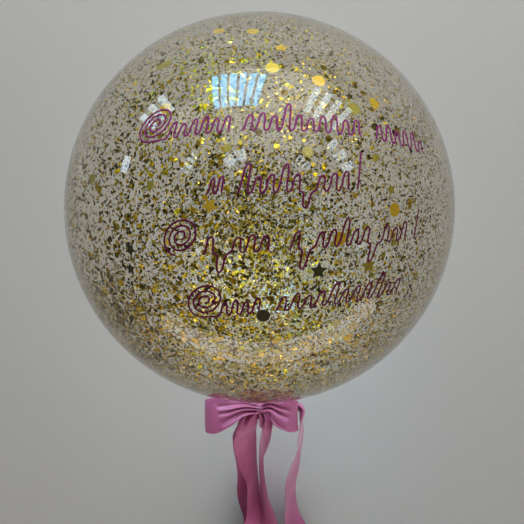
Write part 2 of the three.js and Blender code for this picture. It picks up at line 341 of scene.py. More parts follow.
def spline(points, t):
    """A centripetal Catmull-Rom curve through points, read at t from 0 to 1: each span is a cubic
    whose end slopes come from its neighbours, spaced by the square roots of their distances.
    Past either end a neighbour is mirrored."""
    p = np.asarray(points, float)
    padded = np.vstack([2 * p[0] - p[1], p, 2 * p[-1] - p[-2]])
    place = np.clip(t, 0, 1) * (len(p) - 1)
    span = np.minimum(place.astype(int), len(p) - 2)
    w = (place - span)[:, None]
    p0, p1, p2, p3 = (padded[span + k] for k in range(4))
    pairs = ((p0, p1), (p1, p2), (p2, p3))
    d0, d1, d2 = (np.linalg.norm(b - a, axis=1)[:, None] ** 0.5 for a, b in pairs)
    d1 = np.where(d1 < SAME_PLACE, 1.0, d1)
    d0 = np.where(d0 < SAME_PLACE, d1, d0)
    d2 = np.where(d2 < SAME_PLACE, d1, d2)
    out = d1 * ((p1 - p0) / d0 - (p2 - p0) / (d0 + d1) + (p2 - p1) / d1)
    into = d1 * ((p2 - p1) / d1 - (p3 - p1) / (d1 + d2) + (p3 - p2) / d2)
    square = 3 * (p2 - p1) - 2 * out - into
    cube = 2 * (p1 - p2) + out + into
    return p1 + w * out + w**2 * square + w**3 * cube


FILM_SIDES = 160
BALL_STEPS = 90
SHOULDER_STEPS = 8
NECK_STEPS = 14
SHOULDER_RADIUS = 3 * MM
# The ball's rings crowd towards the neck by this power of the way
CROWDING = 1.25
NECK_CREASES = 13
CREASE_SWAY = 0.6
CREASE_FADE = 6 * MM


def film_finish(settings):
    """Clear film: glass by plain values, with a faint haze and ripple."""
    finish = Finish("clear_film")
    place = finish.place()
    haze = settings.roughness + finish.noise(place, scale=6.0) * 0.008
    finish.give(Base_Color=settings.tint, Transmission_Weight=1.0, IOR=1.3, Roughness=haze)
    finish.bump(finish.noise(place, scale=22.0, detail=3.0), strength=0.03, distance=4 * MM)
    return finish.material


def film_outline(settings, margin):
    """Half outline from the neck's mouth to the far pole as radius and Y: a flared neck, a hollow
    shoulder arc, then the ball's arc, all moved out by margin."""
    ball = BALL_RADIUS + margin
    neck = NECK_RADIUS + margin
    reach = ball + SHOULDER_RADIUS
    join = math.asin((neck + SHOULDER_RADIUS) / reach)
    arc_y = -reach * math.cos(join)
    mouth = -(BALL_RADIUS + settings.neck_length)
    down = np.linspace(0, 1, NECK_STEPS, endpoint=False)
    flared = neck + settings.neck_flare * (1 - down) ** 2
    neck_part = np.stack([flared, mouth + (arc_y - mouth) * down], -1)
    back = np.linspace(0, 1, SHOULDER_STEPS, endpoint=False)
    turn = math.pi / 2 - (math.pi / 2 - join) * back
    hollow = neck + SHOULDER_RADIUS * (1 - np.sin(turn))
    shoulder = np.stack([hollow, arc_y + SHOULDER_RADIUS * np.cos(turn)], -1)
    turn = join + (math.pi - join) * np.linspace(0, 1, BALL_STEPS) ** CROWDING
    arc = np.stack([ball * np.sin(turn), -ball * np.cos(turn)], -1)
    arc[-1, 0] = 0
    return np.vstack([neck_part, shoulder, arc])


def film_grid(settings, margin, floor):
    """The outline turned about the neck's axis. Creases pull it in round the neck by a cosine of
    the turn, fading out over the ball, and the floor flattens it below."""
    outline = film_outline(settings, margin)
    turn = np.arange(FILM_SIDES) / FILM_SIDES * 2 * math.pi
    from_neck = np.maximum(0, outline[:, 1] + BALL_RADIUS)
    fade = np.exp(-from_neck / CREASE_FADE)
    crease = 0.5 + 0.5 * np.cos(NECK_CREASES * turn + CREASE_SWAY * np.sin(2 * turn))
    radius = outline[None, :, 0] - settings.crease_depth * crease[:, None] * fade[None, :]
    radius = np.maximum(radius, 0) * (outline[None, :, 0] > 0)
    x = radius * np.sin(turn)[:, None]
    y = np.broadcast_to(outline[None, :, 1], radius.shape)
    z = CENTRE_HEIGHT + radius * np.cos(turn)[:, None]
    return np.stack([x, y, np.maximum(z, floor)], -1)


class BALLOON_OT_film(Operator):
    """Makes the clear film: a thin shell with its neck, flat where it rests"""

    bl_idname = "balloon.film"
    bl_label = "Clear film"

    def execute(self, context):
        settings = context.scene.balloon_film
        outer = film_grid(settings, 0.0, 0.0)
        inner = film_grid(settings, -settings.wall, settings.wall)
        rows, columns = outer.shape[:2]
        points = np.concatenate([outer.reshape(-1, 3), inner.reshape(-1, 3)])
        # Every row ends in the same pole, outside and inside
        poles = np.arange(len(points)).reshape(2, rows, columns)
        poles[:, :, -1] = poles[:, :1, -1]
        faces = poles.ravel()[slab_faces(rows, columns, around=True)]
        used, numbers = np.unique(faces, return_inverse=True)
        corners = [tuple(dict.fromkeys(face)) for face in numbers.reshape(faces.shape).tolist()]
        corners = [face for face in corners if len(face) > 2]
        finish = film_finish(settings)
        film = piece("clear_film_shell", points[used], corners, finish)
        film.visible_shadow = False
        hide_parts("balloon_envelope")
        return {"FINISHED"}


def foil_finish(name, tone, roughness, speckle, metal=1.0):
    """Metal foil of one tone, a little lighter and darker from flake to flake."""
    finish = Finish(name)
    place = finish.place()
    spread = finish.noise(place, scale=420.0, detail=1.0).part(0.3, 0.7)
    darker = tuple(c * (1 - speckle) for c in tone)
    lighter = tuple(min(1.0, c * (1 + speckle)) for c in tone)
    finish.give(
        Metallic=metal,
        Base_Color=finish.mix(spread, darker, lighter),
        Roughness=roughness + finish.noise(place, scale=900.0) * 0.2,
    )
    finish.bump(finish.noise(place, scale=1500.0, detail=1.0), strength=0.25, distance=0.4 * MM)
    return finish.material


def direction(longitude, latitude):
    """Unit vector at a longitude from the top and a latitude towards +Y, both in degrees."""
    lon, lat = np.radians(longitude), np.radians(latitude)
    return np.stack([np.cos(lat) * np.sin(lon), np.sin(lat), np.cos(lat) * np.cos(lon)], -1)


def on_wall(normals, spin, tilt):
    """Three unit directions of a flat piece on the wall: along it, beside it and up from it. It
    is turned by spin from Y, or near the poles on Y from X, and leans out of the wall by tilt."""
    near_pole = np.abs(normals[:, 1:2]) >= 0.9
    first = unit(np.cross(np.where(near_pole, [[1.0, 0, 0]], [[0, 1.0, 0]]), normals))
    second = np.cross(normals, first)
    c, s = np.cos(spin)[:, None], np.sin(spin)[:, None]
    along, beside = first * c + second * s, second * c - first * s
    lean = along * np.cos(tilt)[:, None] - normals * np.sin(tilt)[:, None]
    return lean, beside, np.cross(lean, beside)


def wall_density(normals, random):
    """How thickly the flakes stick to the wall, from 0 to 1: more towards the neck, at both
    ends and on the right, and in soft clumps, a sum of waves in random directions."""
    waves = random.normal(size=(CLUMP_WAVES, 3)) * CLUMP_RATE
    phases = random.uniform(0, 2 * math.pi, CLUMP_WAVES)
    clumps = np.cos(normals @ waves.T + phases).sum(1) / CLUMP_WAVES**0.5
    base = 0.55 - 0.24 * normals[:, 1] + 0.2 * normals[:, 1] ** 2 + 0.3 * normals[:, 0]
    return np.clip(base * (1 + 0.3 * clumps), 0.05, 1)


def flake_places(count, random):
    """Directions of the flakes, drawn evenly over the ball and kept by the wall's density."""
    drawn = unit(random.normal(size=(count * 3, 3)))
    kept = drawn[random.uniform(0, 1, len(drawn)) < wall_density(drawn, random)]
    settled = unit(SETTLED + random.normal(0, SETTLED_SPREAD, size=(SETTLED_FLAKES, 3)))
    return np.vstack([kept[: count - SETTLED_FLAKES], settled])


def inside_wall(normals, gap, lift):
    """Points just inside the film, lifted off the floor where it is flat."""
    points = CENTRE + normals * (BALL_RADIUS - gap)[:, None]
    points[:, 2] = np.maximum(points[:, 2], lift)
    return points


def flake_corners(normals, size, random):
    """Four corners of each flake. It lies flat on the wall with a small tilt, its corners at
    uneven distances from its middle and by turns raised and lowered by a hair, so that four
    triangles close it. It keeps so far inside the film that no corner passes the film."""
    count = len(normals)
    spin = random.uniform(0, 2 * math.pi, count)
    tilt = np.abs(random.normal(0, FLAKE_TILT, count)).clip(0, MOST_TILT)
    lean, beside, up = on_wall(normals, spin, tilt)
    half_long = size / 2 * random.uniform(0.8, 1.5, count)
    half_wide = size / 2 * random.uniform(0.45, 1.0, count)
    crease = (size * random.uniform(0.02, 0.05, count))[:, None]
    dip = FLAKE_REACH * half_long * np.sin(tilt) + crease[:, 0]
    middle = inside_wall(normals, FLAKE_GAP + dip, FLAKE_LIFT + dip)
    corners = []
    for turn, height in ((0.25, 1), (0.75, -1), (1.25, 1), (1.75, -1)):
        angle = (turn + random.uniform(-0.14, 0.14, count)) * math.pi
        reach = random.uniform(0.8, 1.15, count) * 1.41
        x = (np.cos(angle) * half_long * reach)[:, None]
        y = (np.sin(angle) * half_wide * reach)[:, None]
        corners.append(middle + lean * x + beside * y + up * crease * height)
    return np.stack(corners, 1)


def under_front_shapes(settings, normals):
    """Which flakes would lie over one of the front's stars or discs."""
    hidden = np.zeros(len(normals), bool)
    for shown, width in ((FRONT_STARS, settings.star_size), (FRONT_DISCS, settings.disc_size)):
        front = np.array(shown)
        reach = np.cos(FRONT_CLEAR * width * front[:, 2] / BALL_RADIUS)
        hidden |= (normals @ direction(front[:, 0], front[:, 1]).T > reach).any(1)
    return hidden


def flat_shapes(normals, outline, size, random, spin):
    """Thin flat shapes on the wall: an outline of (radius, turn) pairs, closed above and below
    by fans from the middle, with a rim."""
    count = len(normals)
    tilt = random.uniform(0, SHAPE_TILT, count)
    lean, beside, up = on_wall(normals, spin, tilt)
    dip = size / 2 * np.sin(tilt)
    middle = inside_wall(normals, SHAPE_GAP + dip, SHAPE_LIFT + dip)
    ring = outline[:, :1] * np.stack([np.cos(outline[:, 1]), np.sin(outline[:, 1])], -1)
    reach = np.vstack([[0, 0], ring])[None] * size[:, None, None] / 2
    flat = lean[:, None] * reach[..., :1] + beside[:, None] * reach[..., 1:] + middle[:, None]
    half = up[:, None] * SHAPE_THICKNESS / 2
    points = np.concatenate([flat + half, flat - half], 1)
    n = len(outline)
    here = np.arange(n) + 1
    after = np.roll(here, -1)
    under = n + 1
    zero = np.zeros(n, int)
    one = np.vstack([
        np.stack([zero, here, after], -1),
        np.stack([zero + under, after + under, here + under], -1),
        np.stack([here, here + under, after + under], -1),
        np.stack([here, after + under, after], -1),
    ])
    faces = one[None] + (np.arange(count) * 2 * under)[:, None, None]
    return points.reshape(-1, 3), faces.reshape(-1, 3)


def ring_outline(radii):
    """An outline of (radius, turn) pairs, with its corners evenly round the middle."""
    return np.stack([radii, np.arange(len(radii)) * 2 * math.pi / len(radii)], -1)


STAR = ring_outline(np.tile([1.0, 0.5], 5))
DISC = ring_outline(np.ones(18))
SHAPE_THICKNESS = 0.12 * MM
SHAPE_TILT = 0.05
# How far the middle of a level shape lies inside the ball, and over the floor
SHAPE_GAP = 0.6 * MM
SHAPE_LIFT = 0.9 * MM

CLUMP_WAVES = 24
CLUMP_RATE = 9
# Loose flakes lie thickest at the bottom of the ball, round this direction
SETTLED = np.array([0.03, -0.08, -1.0])
SETTLED_SPREAD = 0.27
SETTLED_FLAKES = 6000
FLAKE_TILT = 0.24
MOST_TILT = 0.7
FLAKE_GAP = 0.55 * MM
FLAKE_LIFT = 0.5 * MM
# The furthest that a flake's corner lies from its middle, in half lengths
FLAKE_REACH = 1.53
FLAKE_FACES = np.array([[0, 1, 2], [0, 2, 3], [0, 3, 1], [1, 3, 2]])
# Tones of the flakes, one gold foil as a painted highlight, plain, in painted half shade and
# in painted shade: colour, finish, end of its range of draws, roughness and speckle
FLAKE_TONES = (
    ("bright", "bright_gold_foil", 0.04, 0.16, 0.1), ("gold", "gold_foil", 0.26, 0.28, 0.2),
    ("olive", "olive_gold_foil", 0.62, 0.32, 0.25), ("bronze", "bronze_foil", 1.01, 0.36, 0.3),
)

# Stars and discs that the front of the ball shows: longitude, latitude, share of full size,
# and tone, as its place in SHAPE_TONES: plain gold, painted half shade, painted shade
FRONT_STARS = (
    (-35, -10, 0.8, 2), (-12, 1, 0.92, 0), (15, -15, 1.0, 2), (35, 5, 0.7, 1),
    (29, -31, 0.9, 1), (29, -35, 0.8, 0), (-9, -45, 0.9, 1), (29, -14, 1.0, 1),
    (23, -30, 0.8, 1), (-25, -30, 0.8, 1), (8, 46, 0.9, 0), (-36, 40, 0.8, 1),
    (-44, 35, 0.6, 0), (-28, 6, 0.8, 1), (-36, -15, 0.7, 2), (-51, -23, 0.7, 1),
    (-19, -39, 0.7, 1),
)
FRONT_DISCS = (
    (-27, 26, 0.9, 0), (4, 38, 1.0, 0), (18, 34, 1.0, 0), (27, 26, 1.0, 1),
    (35, 28, 0.9, 0), (36, 0, 1.0, 0), (20, -7, 1.0, 0), (1, -27, 1.0, 2),
    (-19, 55, 0.9, 0), (-3, 54, 0.9, 0), (-50, 8, 0.8, 1), (12, 14, 0.8, 1),
    (-34, 41, 0.9, 1), (-8, 15, 0.6, 1), (-41, -19, 0.6, 0), (31, 13, 0.6, 1),
    (5, -35, 0.5, 0),
)
# Tones of the stars and discs, one gold foil: plain, painted half shade and painted shade
SHAPE_TONES = ("light", "olive", "dark")
# Flakes keep this share of a front shape's width off its middle
FRONT_CLEAR = 0.6
OTHER_STARS = 110
OTHER_DISCS = 90
# Shares of the other stars and discs drawn plain, in painted half shade and in painted shade
OTHER_TONES = (0.45, 0.42, 0.13)
# The others stay below this height, a share of the ball's radius over its middle
FRONT_HEIGHT = 0.35


class BALLOON_OT_confetti(Operator):
    """Makes the confetti sealed in the ball: foil flakes in four tones, stars and discs. The
    flakes' tones are one gold foil: a painted highlight, plain, painted half shade and painted
    shade.
    """

    bl_idname = "balloon.confetti"
    bl_label = "Confetti"

    def execute(self, context):
        settings = context.scene.balloon_confetti
        random = np.random.default_rng(settings.seed)
        normals = flake_places(settings.flakes, random)
        finer = 1.15 - 0.38 * normals[:, 0] - 0.12 * normals[:, 1]
        spread = random.lognormal(0, 0.5, len(normals)).clip(0.45, 3.2)
        corners = flake_corners(normals, settings.flake_size * finer * spread, random)
        draw = random.uniform(0, 1, len(normals))
        draw[under_front_shapes(settings, normals)] = -1
        low = 0
        # One piece for each tone; all but the plain gold paint light or shade on the foil
        for tone, finish_name, high, roughness, speckle in FLAKE_TONES:
            mine = corners[(draw >= low) & (draw < high)]
            low = high
            faces = FLAKE_FACES[None] + (np.arange(len(mine)) * 4)[:, None, None]
            finish = foil_finish(finish_name, getattr(settings, tone), roughness, speckle)
            flakes = piece(
                f"confetti_flakes_{tone}", mine.reshape(-1, 3), faces.reshape(-1, 3),
                finish, smooth=False,
            )
            flakes.visible_shadow = False
        self.shapes(settings, random)
        return {"FINISHED"}

    def shapes(self, settings, random):
        """The stars and discs: those that the front shows, then others on the sides and back."""
        # Their finishes: plain gold foil, painted half shade and painted shade
        finishes = [
            foil_finish(f"{tone}_foil", getattr(settings, f"{tone}_shape"), 0.3, 0.15, metal=0.4)
            for tone in SHAPE_TONES
        ]
        for name, shown, others, outline, width in (
            ("stars", FRONT_STARS, OTHER_STARS, STAR, settings.star_size),
            ("discs", FRONT_DISCS, OTHER_DISCS, DISC, settings.disc_size),
        ):
            front = np.array(shown)
            rest = unit(random.normal(size=(others, 3)))
            rest[:, 2] = np.where(rest[:, 2] > FRONT_HEIGHT, -rest[:, 2], rest[:, 2])
            normals = np.vstack([direction(front[:, 0], front[:, 1]), rest])
            size = width * np.concatenate([front[:, 2], random.uniform(0.45, 0.8, others)])
            spin = random.uniform(0, 2 * math.pi, len(normals))
            drawn = random.choice(len(SHAPE_TONES), others, p=OTHER_TONES)
            tones = np.concatenate([front[:, 3], drawn])
            for number, (tone, finish) in enumerate(zip(SHAPE_TONES, finishes)):
                chosen = tones == number
                made, faces = flat_shapes(
                    normals[chosen], outline, size[chosen], random, spin[chosen]
                )
                piece(f"confetti_{name}_{tone}", made, faces, finish, smooth=False)


STROKE_HEIGHT = 17 * MM
STROKE_SLANT = 0.2
STROKE_STEP = 1.1 * MM
LEAST_STEPS = 16
# A stroke's ends narrow to this share of its width over a few steps
END_SHARE = 0.35
END_STEPS = 3
SWELL_SPREAD = 0.8
WAVE_STEPS = 28
BAR_HEIGHT = 38 * MM
CURL_RADIUS = 19 * MM
CURL_CORE = 2.5 * MM
CURL_TURNS = 3
CURL_STEPS = 120
# How far off the ball the vinyl's foot lies, and the line that gives a stroke's length
VINYL_GAP = 0.15 * MM
VINYL_LINE = 0.3 * MM
# A stroke's section: places across in widths, and heights in thicknesses
SECTION_ACROSS = np.array([-0.5, -0.42, -0.2, 0, 0.2, 0.42, 0.5])
SECTION_HEIGHTS = np.array([0.35, 0.85, 1, 1, 1, 0.85, 0.35])

# Rows that the strokes stand on: latitude = base + tilt * longitude + bend * longitude squared
ROW_1, ROW_2, ROW_3, ROW_4 = ((19.3, 0.02, -0.0022), (4, 0.03, 0), (-10, 0.06, 0), (-26, 0.1, 0))


def row_points(row, longitude, up):
    """Places on a row: longitude in degrees, metres above the row, leaning with the height."""
    base, tilt, bend = row
    latitude = base + tilt * longitude + bend * longitude**2
    arc = math.radians(BALL_RADIUS)
    lean = STROKE_SLANT * up / (arc * np.cos(np.radians(latitude)))
    return np.stack([longitude + lean, latitude + up / arc], -1)


def wave(row, start, end, heights):
    """One swell for each height from one longitude to another: half the height times one minus
    the cosine of the phase. A sine of twice the phase spreads it at its crest and foot, so that
    both are round. A height is a share of the stroke height, downward where it is negative."""
    count = len(heights) * WAVE_STEPS
    i = np.arange(count + 1)
    swell = np.minimum(len(heights) - 1, i // WAVE_STEPS)
    phase = (i / WAVE_STEPS - swell) * 2 * math.pi
    up = np.array(heights)[swell] * STROKE_HEIGHT * 0.5 * (1 - np.cos(phase))
    spread = SWELL_SPREAD * np.sin(2 * phase) / (4 * math.pi)
    return row_points(row, start + (end - start) * (i / WAVE_STEPS + spread) / len(heights), up)


def curl(row, end):
    """A spiral that opens from its core and ends at its foot, on the row. Its middle lies half
    its radius before the longitude end."""
    arc = math.radians(BALL_RADIUS) * math.cos(math.radians(row[0]))
    share = np.arange(CURL_STEPS) / CURL_STEPS
    turn = (-0.25 - CURL_TURNS * (1 - share)) * 2 * math.pi
    radius = CURL_CORE + (CURL_RADIUS - CURL_CORE) * share
    along = (radius * np.cos(turn) - CURL_RADIUS * 0.5) / arc
    return row_points(row, end + along, CURL_RADIUS + radius * np.sin(turn))


def bar(row, longitude, height):
    """A leaning bar that stands on the row."""
    return row_points(row, np.full(3, float(longitude)), np.array([0, height / 2, height]))


STROKES = {
    "vinyl_row1_flourish_run": np.vstack([
        curl(ROW_1, -27), wave(ROW_1, -25, -7.5, [1, 0.8, 1, 1.1, 0.9, 1]),
    ]),
    "vinyl_row1_long_run": wave(ROW_1, -4.8, 27.5, [1, 1.1, 0.9, 1.7, 1, 0.8, 1, 1.1, 0.9, 1]),
    "vinyl_row1_end_run": wave(ROW_1, 31.5, 50.5, [0.9, 1, 0.8, 1, 1.1, 0.7]),
    "vinyl_row2_short_run": wave(ROW_2, -12.9, -8.8, [0.9, 1]),
    "vinyl_row2_long_run": wave(ROW_2, -5.6, 22.5, [1.7, 0.9, 1, 1.6, 1, -0.9, 0.9, 1, 1.1]),
    "vinyl_row2_bar": bar(ROW_2, 24.5, BAR_HEIGHT),
    "vinyl_row3_curl": curl(ROW_3, -18),
    "vinyl_row3_run": wave(ROW_3, -14.3, 2.6, [1, -1.1, 0.9, 1, 0.9]),
    "vinyl_row3_long_run": wave(
        ROW_3, 6.9, 40.5, [1, -1.2, 0.9, 1, 1.6, 0.9, 1, -1.1, 1, 0.8, 1.1]
    ),
    "vinyl_row3_bar": bar(ROW_3, 43.5, BAR_HEIGHT * 0.8),
    "vinyl_row4_flourish_run": np.vstack([
        curl(ROW_4, -13), wave(ROW_4, -11.5, 0.2, [0.9, 1, 0.8, 1]),
    ]),
    "vinyl_row4_long_run": wave(ROW_4, 4, 41.5, [0.9, 1, 0.8, 1, 1.4, 0.9, 1, 1.1, 1.6, 0.9, 1]),
}


def vinyl_finish(settings):
    """Cut vinyl: its colour deepens from the upper rows to the lower, with a faint grain."""
    finish = Finish("cut_vinyl")
    place = finish.place()
    _, y, _ = finish.node("ShaderNodeSeparateXYZ", None, [place])
    rows = y.part(-0.01, 0.1) + (finish.noise(place, scale=60.0) - 0.5) * 0.3
    finish.give(
        Specular_IOR_Level=0.3,
        Base_Color=finish.mix(rows, settings.lower, settings.upper),
        Roughness=0.36 + finish.noise(place, scale=500.0) * 0.12,
    )
    finish.bump(finish.noise(place, scale=1800.0, detail=1.0), strength=0.1, distance=0.2 * MM)
    return finish.material


class BALLOON_OT_vinyl(Operator):
    """Makes the vinyl strokes that stand in four rows on the film"""

    bl_idname = "balloon.vinyl"
    bl_label = "Vinyl strokes"

    def execute(self, context):
        settings = context.scene.balloon_vinyl
        finish = vinyl_finish(settings)
        for node, course in STROKES.items():
            middles = CENTRE + direction(course[:, 0], course[:, 1]) * (BALL_RADIUS + VINYL_LINE)
            way = way_along(middles)
            steps = max(LEAST_STEPS, round(way[-1] / STROKE_STEP))
            t = np.linspace(0, 1, steps + 1)
            line = np.stack([np.interp(t * way[-1], way, axis) for axis in middles.T], -1)
            outward = unit(line - CENTRE)
            wide = unit(np.cross(outward, np.gradient(line, axis=0)))
            ends = np.minimum(1, np.minimum(t, 1 - t) * steps / END_STEPS) ** 0.5
            width = settings.width * (END_SHARE + (1 - END_SHARE) * ends)
            side = wide[:, None] * (SECTION_ACROSS[None, :, None] * width[:, None, None])
            foot = CENTRE + outward[:, None] * (BALL_RADIUS + VINYL_GAP) + side
            rise = outward[:, None] * (SECTION_HEIGHTS[None, :, None] * settings.thickness)
            points = np.concatenate([(foot + rise).reshape(-1, 3), foot.reshape(-1, 3)])
            faces = slab_faces(len(line), len(SECTION_ACROSS), around=False)
            stroke = piece(node.replace("vinyl_", "vinyl_stroke_"), points, faces, finish)
            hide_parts(node)
        return {"FINISHED"}


ACROSS_X = np.array([1.0, 0, 0])
ALONG_NECK = np.array([0, -1.0, 0])
UPRIGHT = np.array([0, 0, 1.0])
ROUTE_SAMPLES = 2000
# Share of a route over which its direction is read
NEARBY = 1e-4
LOOP_STEPS = 150
LOOP_PLEATS = 3
TAIL_STEPS = 330
TAIL_PLEATS = 2
STRIPES = 32
PLEAT_SLACK = 1.1
# A ribbon is nowhere gathered to less than this share of its width
LEAST_SHARE = 0.2
CROWN = 0.8 * MM
BALL_GAP = 0.35 * MM
FLOOR_GAP = 0.1 * MM
REST_GAP = 0.5 * MM
WRAP_STEPS = 120
WRAP_STRIPES = 56
WRAP_PLEATS = 7
WRAP_BELLY = 0.12
WRAP_OUT = 1.6 * MM
WRAP_LEAN = 0.8
# Half the knot's depth and height, its width, and the lean of its pleats
KNOT_FORM = (4.4 * MM, 5.6 * MM, 8.5 * MM, 1.5)
# A tail's floor run starts this far out and sways at every step, in ribbon widths
RUN_START = 7.5
RUN_STEP = 1.25
RUN_SWAYS = (0, -0.08, -0.03, 0.1, 0.03)
RUN_HUMPS = (0, 0.08, 0, 0.1, 0)


def near_knot(up):
    """Height up from the knot, in ribbon widths."""
    return KNOT_HEIGHT + up * RIBBON_WIDTH


def near_neck(up):
    """Height up from the neck's axis, in ribbon widths."""
    return CENTRE_HEIGHT + up * RIBBON_WIDTH


def aloft(share):
    """Height as a share of the knot's."""
    return KNOT_HEIGHT * share


def resting(lean, lift):
    """Height near the floor of a ribbon that leans by some degrees, with its edge lifted."""
    return RIBBON_WIDTH * (math.sin(math.radians(lean)) / 2 + lift) + REST_GAP


def stations(rule, rows):
    """Stations in metres of height, which a rule works out from each row's third value."""
    return [(x, out, rule(*np.atleast_1d(up)), roll, share) for x, out, up, roll, share in rows]


def floor_run(lane_number, tail_length, roll=0):
    """Stations of a tail's floor run: it sways a little in its own lane."""
    middle = lane_number * LANE / RIBBON_WIDTH
    run = [
        (middle + sway, RUN_START + i * RUN_STEP, (0, hump), roll, 1)
        for i, (sway, hump) in enumerate(zip(RUN_SWAYS, RUN_HUMPS))
    ]
    end = RUN_START + len(RUN_SWAYS) * RUN_STEP + tail_length / RIBBON_WIDTH
    return stations(resting, [*run, (middle, end, (0, 0), roll, 1)])


# Stations of each part: x and the distance out past the tie in ribbon widths, what the rule
# works the height out from, roll in degrees and the share of the full width
LEFT_LOOP = stations(near_knot, (
    (-0.053, 0, 0.053, 0, 0.25), (-0.526, -0.035, 0.289, 0, 0.42),
    (-1.053, 0.12, 0.395, 4, 0.75), (-1.474, 0.211, 0.342, 2, 1),
    (-1.711, 0.211, 0.079, 0, 1), (-1.579, 0.211, -0.211, 0, 1),
    (-1.158, 0.184, -0.316, 0, 0.9), (-0.579, 0.079, -0.211, 0, 0.5),
    (-0.079, 0, -0.053, 0, 0.25),
))
RIGHT_LOOP = stations(near_knot, (
    (0.053, 0, 0.053, 0, 0.25), (0.342, -0.08, 0.263, 0, 0.45),
    (0.684, 0.105, 0.368, -4, 0.8), (1, 0.211, 0.316, -2, 0.92),
    (1.211, 0.211, 0.079, 0, 0.92), (1.132, 0.263, -0.211, 0, 0.95),
    (0.816, 0.289, -0.316, 0, 0.95), (0.421, 0.158, -0.211, 0, 0.55),
    (0.079, 0, -0.053, 0, 0.25),
))
LEFT_TAIL = [
    *stations(near_knot, ((-0.053, 0, -0.026, 0, 0.25), (-0.342, 0.342, 0, -12, 0.6))),
    *stations(aloft, (
        (-0.408, 0.632, 0.975, -36, 0.85), (-0.447, 0.895, 0.906, -38, 0.95),
        (-0.487, 1.211, 0.765, -40, 1), (-0.5, 1.605, 0.615, -42, 1),
        (-0.474, 2.132, 0.47, -45, 1), (-0.408, 2.789, 0.33, -54, 1),
        (-0.276, 3.579, 0.205, -68, 1),
    )),
    *stations(resting, (
        (-0.25, 4.5, (64, 0.211), -64, 1), (-0.237, 5.553, (50, 0.066), -50, 1),
        (-0.632, 6.395, (25, 0.105), -25, 1), (-1, 6.921, (10, 0.079), -10, 1),
    )),
    *floor_run(-1, BOW_TAIL_LENGTH),
]
MIDDLE_TAIL = [
    *stations(near_knot, ((0.053, 0, -0.026, 0, 0.25), (0.184, 0.316, 0, 10, 0.42))),
    *stations(aloft, (
        (0.184, 0.632, 0.98, 54, 0.5), (0.163, 0.895, 0.915, 68, 0.7),
        (0.153, 1.211, 0.775, 78, 0.9), (0.132, 1.605, 0.62, 84, 1),
        (0.095, 2.132, 0.475, 84, 1), (0.074, 2.789, 0.335, 80, 1), (0.105, 3.579, 0.21, 75, 1),
    )),
    *stations(resting, (
        (0.197, 4.5, (70, 0.211), 70, 1), (0.421, 5.553, (60, 0.047), 60, 1),
        (0.632, 6.395, (45, 0.092), 45, 1), (0.908, 6.921, (20, 0.105), 20, 1),
    )),
    *floor_run(1, BOW_TAIL_LENGTH),
]
RIGHT_TAIL = [
    *stations(near_neck, (
        (NECK_SIDE, STREAMER_BACK, -0.053, 0, 0.25), (0.474, STREAMER_BACK, -0.316, 0, 0.35),
        (0.895, 0.105, -0.395, 0, 0.4), (1.211, 0, -0.263, 0, 0.45),
        (1.368, 0.158, -0.079, 2, 0.6), (1.329, 0.474, 0.053, 6, 0.9),
        (1.316, 0.763, -0.079, 13, 1),
    )),
    *stations(aloft, (
        (1.355, 1.211, 0.77, 15, 1), (1.395, 1.605, 0.625, 15, 1), (1.382, 2.132, 0.475, 16, 1),
        (1.303, 2.789, 0.34, 22, 1), (1.226, 3.579, 0.215, 29, 1),
    )),
    *stations(resting, (
        (1.171, 4.5, (66, 0.368), 24, 1), (1.25, 5.553, (53, 0.079), 37, 1),
        (1.605, 6.395, (30, 0.039), 60, 1), (1.974, 6.921, (12, 0.026), 78, 1),
    )),
    *floor_run(2, STREAMER_TAIL_LENGTH, roll=90),
]
BACK_TAIL = [
    *stations(near_neck, (
        (-NECK_SIDE, STREAMER_BACK, -0.079, 0, 0.25),
        (-0.368, STREAMER_BACK + 0.211, -0.368, -20, 0.5),
    )),
    *stations(aloft, (
        (-0.526, 0.789, 0.77, -38, 0.8), (-0.579, 1.158, 0.63, -46, 1),
        (-0.579, 1.605, 0.51, -46, 1), (-0.566, 2.132, 0.365, -46, 1),
        (-0.526, 2.789, 0.225, -48, 1), (-0.474, 3.579, 0.11, -44, 1),
    )),
    *stations(resting, (
        (-0.421, 4.5, (30, 0.011), -30, 1), (-0.132, 5.605, (0, 0), 0, 1),
        (-0.053, 6.579, (0, 0), 0, 1),
    )),
    *floor_run(0, STREAMER_TAIL_LENGTH),
]


def pleat_height(share, pleats):
    """Half the height of pleats that take in a ribbon's spare width: a sine whose arc is as long
    as the ribbon is wide, read from a table of arc lengths."""
    slopes = np.linspace(0, 1.6, 200)
    phase = np.linspace(0, 2 * math.pi, 400)
    arcs = np.sqrt(1 + (2 * math.pi * slopes[:, None] * np.cos(phase)) ** 2).mean(1)
    fullness = 1 / np.clip(share, LEAST_SHARE, 1)
    return np.interp(fullness, arcs, slopes) * RIBBON_WIDTH * share / pleats


